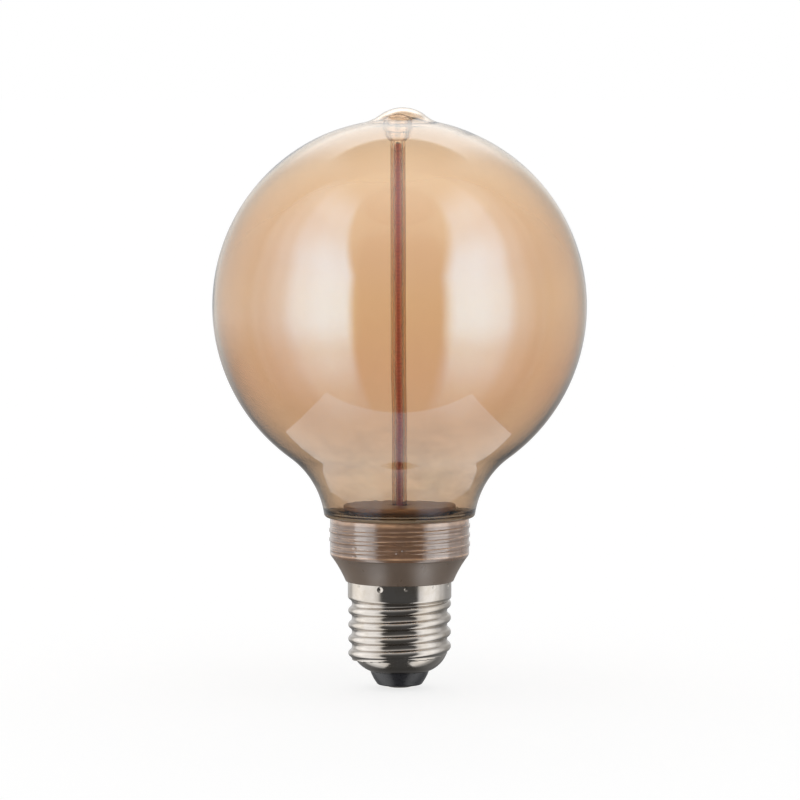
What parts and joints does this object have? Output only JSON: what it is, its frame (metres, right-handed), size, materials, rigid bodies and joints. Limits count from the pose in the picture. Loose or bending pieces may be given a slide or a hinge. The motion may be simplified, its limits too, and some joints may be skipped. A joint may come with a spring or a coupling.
{
  "type": "globe bulb",
  "caption": "Amber glass globe bulb with a straight filament in a clear tube, a smoked threaded collar and an Edison screw cap.",
  "frame": {"origin": "centre of the centre contact's underside, on the axis", "axes": "+Z along the axis from the contact to the crown; the front looks along -Y"},
  "size_m": [0.095, 0.095, 0.1475],
  "materials": {
    "amber_glass": "clear amber blown glass",
    "clear_glass": "clear drawn glass",
    "phosphor": "phosphor-filled silicone, satin",
    "lug_metal": "plated sheet",
    "wire_metal": "bare plated wire",
    "substrate": "white ceramic strip",
    "seal": "fired seal",
    "platform_brown": "moulded, satin",
    "collar_brown": "translucent smoked moulding",
    "silicone": "soft moulded sleeve",
    "cement": "cured cement",
    "cap_nickel": "bright nickel plate on rolled brass",
    "cap_black": "black moulded insulator",
    "board": "green resist on laminate",
    "component_black": "moulded package",
    "can_sleeve": "drawn can",
    "ferrite": "sintered ferrite",
    "copper": "enamelled copper winding",
    "film_box": "film capacitor box",
    "resistor_body": "coated resistor"
  },
  "bodies": {
    "root": {"globe_glass": "amber_glass", "globe_cement": "cement", "filament_tube": "clear_glass", "filament_coating": "phosphor", "filament_substrate": "substrate", "upper_lug": "lug_metal", "lower_lug": "lug_metal", "return_wire": "wire_metal", "feed_wire": "wire_metal", "foot_seal": "seal", "tube_bushing": "silicone", "stem_platform": "platform_brown", "collar": "collar_brown", "cap_shell": "cap_nickel", "cap_insulator": "cap_black", "centre_contact": "cap_nickel", "driver_board": "board", "bridge_rectifier": "component_black", "smoothing_capacitor": "can_sleeve", "driver_chip": "component_black", "choke_core": "ferrite", "choke_winding": "copper", "freewheel_diode": "component_black", "output_capacitor": "film_box", "sense_resistor_1": "component_black", "sense_resistor_2": "component_black", "fuse_resistor": "resistor_body", "neutral_lead": "wire_metal"}
  },
  "joints": []
}
